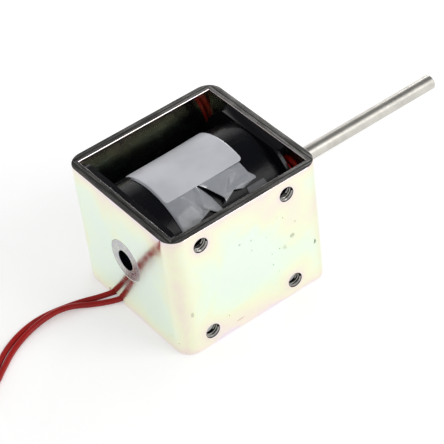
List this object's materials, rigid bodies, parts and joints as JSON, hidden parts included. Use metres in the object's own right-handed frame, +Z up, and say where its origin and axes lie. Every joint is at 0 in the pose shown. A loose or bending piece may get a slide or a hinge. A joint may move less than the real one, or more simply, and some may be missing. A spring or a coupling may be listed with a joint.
{
  "type": "push pull solenoid",
  "caption": "Open-frame push-pull solenoid: taped coil in a bent steel strip frame, plunger on a long push rod, threaded holes in one side wall, red flying leads.",
  "frame": {"origin": "bottom centre of the box round the solenoid without its flying leads, on the surface that the frame's lower edge stands on", "axes": "+X along the rod, out of the frame; +Z up, across the frame's strip; -Y out of the wall with the threaded holes"},
  "size_m": [0.1594, 0.0455, 0.0365],
  "materials": {
    "plated_steel": "zinc plated and yellow passivated strip, semi-gloss, cut edges dark and rough",
    "core_steel": "turned and nickel plated, satin",
    "plunger_steel": "turned and nickel plated, satin",
    "rod_steel": "ground stainless, satin",
    "bush_steel": "turned, plain",
    "brass": "drawn, plain",
    "rubber": "matt",
    "black_moulding": "moulded nylon, glossy",
    "copper": "enamelled copper wire",
    "black_tape": "insulating tape, glossy",
    "clear_tape": "thin film tape, glossy and creased",
    "label_film": "white film, satin, bare",
    "solder": "tinned",
    "sleeving": "varnished glass sleeving",
    "red_pvc": "extruded, semi-gloss",
    "nylon": "natural nylon"
  },
  "bodies": {
    "frame_body": {"frame": "plated_steel", "fixed_core": "core_steel", "stop_washer": "brass", "guide_tube": "brass", "front_bush": "bush_steel", "bumper_ring": "rubber", "bobbin": "black_moulding", "winding": "copper", "winding_wrap": "black_tape", "tape_band": "clear_tape", "tape_patch": "clear_tape", "label": "label_film", "coil_tail_1": "copper", "coil_tail_2": "copper", "solder_joint_1": "solder", "solder_joint_2": "solder", "insulating_sleeve_1": "sleeving", "insulating_sleeve_2": "sleeving", "lead_1": "red_pvc", "lead_2": "red_pvc", "lead_coil": "red_pvc", "lead_tie": "nylon", "lead_1_tip": "solder", "lead_2_tip": "solder"},
    "plunger_body": {"plunger": "plunger_steel", "push_rod": "rod_steel", "cross_pin": "rod_steel"}
  },
  "joints": [
    {"name": "plunger_slide", "type": "slide", "parent": "frame_body", "child": "plunger_body", "axis": [1, 0, 0], "range_m": [-0.008, 0]}
  ]
}
